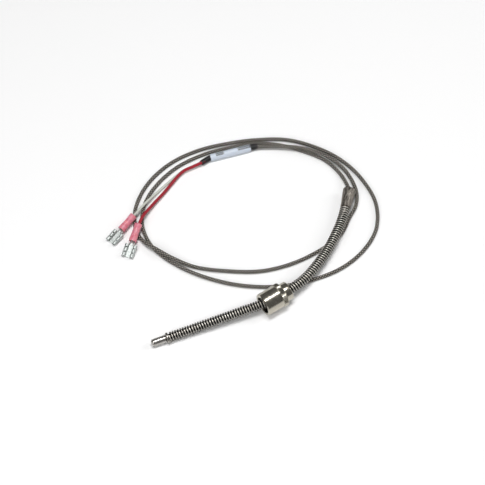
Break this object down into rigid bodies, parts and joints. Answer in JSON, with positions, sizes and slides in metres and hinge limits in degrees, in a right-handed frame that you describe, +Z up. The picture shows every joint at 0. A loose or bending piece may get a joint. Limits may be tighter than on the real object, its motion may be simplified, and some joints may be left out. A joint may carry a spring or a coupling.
{
  "type": "flame sensor probe",
  "caption": "Spring-armoured bayonet probe: a closed metal sheath tip, a turning bayonet cap on a nut, and a looped braided cable ending in a red and a white lead with push-on terminals.",
  "frame": {"origin": "under the middle of the probe without its free cable, leads and what is on them, on the surface it lies on", "axes": "+X along the bayonet cap's axis from its mouth towards the cable, +Z up from the surface"},
  "size_m": [0.1778, 0.1308, 0.0152],
  "materials": {
    "sheath_steel": "satin drawn stainless tube, lightly scratched",
    "collar_steel": "turned stainless ring",
    "ceramic": "unglazed white ceramic",
    "bead_metal": "fused junction bead",
    "iron_wire": "drawn iron wire",
    "constantan_wire": "drawn copper-nickel wire",
    "cement": "cast potting cement",
    "spring_steel": "polished spring wire with dark gaps between turns",
    "liner_glass": "dark woven glass sleeve",
    "nickel_nut": "nickel-plated brass, warm satin",
    "nickel_cap": "nickel-plated brass, warm satin, knurled band",
    "ferrule_steel": "tinned steel with slanting streaks",
    "bush": "moulded packing",
    "braid": "grey-brown woven braid over wire",
    "shrink_black": "black heat-shrink tube",
    "label_film": "clear film over a white printed band",
    "tinned_copper": "tinned copper splice",
    "red_insulation": "crimson woven insulation",
    "white_insulation": "off-white woven insulation",
    "tinned_brass": "bright tinned brass, stamped",
    "copper_support": "copper support sleeve",
    "pink_vinyl": "semi-clear pink vinyl"
  },
  "bodies": {
    "probe": {"front_coil": "spring_steel", "rear_coil": "spring_steel", "front_liner": "liner_glass", "rear_liner": "liner_glass", "rear_ferrule": "ferrule_steel", "cable_bush": "bush", "inner_cable": "braid", "braided_cable": "braid", "transition_sleeve": "shrink_black", "transition_label": "label_film", "red_splice": "tinned_copper", "white_splice": "tinned_copper", "red_lead": "red_insulation", "white_lead": "white_insulation", "red_terminal": "tinned_brass", "white_terminal": "tinned_brass", "red_support_sleeve": "copper_support", "white_support_sleeve": "copper_support", "red_barrel_cover": "pink_vinyl", "white_barrel_cover": "pink_vinyl"},
    "tip": {"sheath_tube": "sheath_steel", "stop_collar": "collar_steel", "ceramic_insulator": "ceramic", "junction_bead": "bead_metal", "iron_conductor": "iron_wire", "constantan_conductor": "constantan_wire", "cement_plug": "cement"},
    "nut": {"spring_nut": "nickel_nut"},
    "cap": {"bayonet_cap": "nickel_cap"}
  },
  "joints": [
    {"name": "cap_travel", "type": "slide", "parent": "probe", "child": "nut", "axis": [1, 0, 0], "range_m": [-0.003, 0.003]},
    {"name": "cap_turn", "type": "hinge", "parent": "nut", "child": "cap", "pos_m": [-0.0135, -0.0175, 0.0076], "axis": [1, 0, 0], "continuous": true},
    {"name": "tip_press", "type": "slide", "parent": "probe", "child": "tip", "axis": [0.9686, -0.2402, 0.0644], "range_m": [0, 0.006], "stiffness_N_per_m": 1000, "deforming": ["front_coil", "front_liner", "iron_conductor", "constantan_conductor"]}
  ]
}
